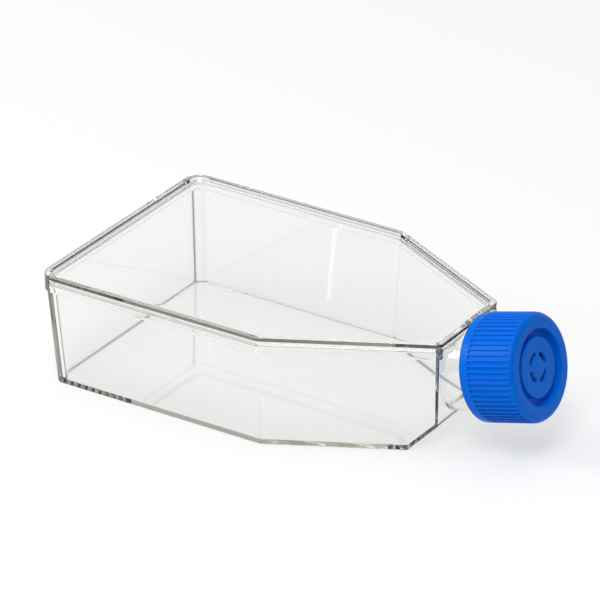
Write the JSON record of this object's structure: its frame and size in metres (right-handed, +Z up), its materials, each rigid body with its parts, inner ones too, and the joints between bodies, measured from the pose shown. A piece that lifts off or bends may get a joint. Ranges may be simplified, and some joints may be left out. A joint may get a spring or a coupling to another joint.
{
  "type": "cell culture flask",
  "caption": "Clear flat culture flask with a welded top plate, a canted threaded neck and a ribbed vented screw cap.",
  "frame": {"origin": "middle of the flat base, on the surface that the flask lies on", "axes": "+X along the flask towards the neck and cap, +Y to the left of the neck, +Z up"},
  "size_m": [0.154, 0.0848, 0.0446],
  "materials": {
    "clear_plastic": "crystal-clear moulded polystyrene, polished",
    "blue_plastic": "satin moulded polyethylene",
    "liner_white": "soft closed-cell foam liner",
    "membrane_white": "matt microporous film"
  },
  "bodies": {
    "flask": {"flask_tray": "clear_plastic", "top_plate": "clear_plastic"},
    "seal": {"sealing_ring": "liner_white"},
    "cap": {"screw_cap": "blue_plastic", "vent_membrane": "membrane_white"}
  },
  "joints": [
    {"name": "cap_lift", "type": "slide", "parent": "flask", "child": "seal", "axis": [0.9636, 0, 0.2672], "range_m": [0, 0.0181]},
    {"name": "cap_turn", "type": "hinge", "parent": "seal", "child": "cap", "pos_m": [0.0617, 0, 0.02232], "axis": [0.9636, 0, 0.2672], "range_deg": [0, 1620]}
  ],
  "couplings": [
    {"joint": "cap_lift", "follows": "cap_turn", "m_per_rad": 0.00063662}
  ]
}
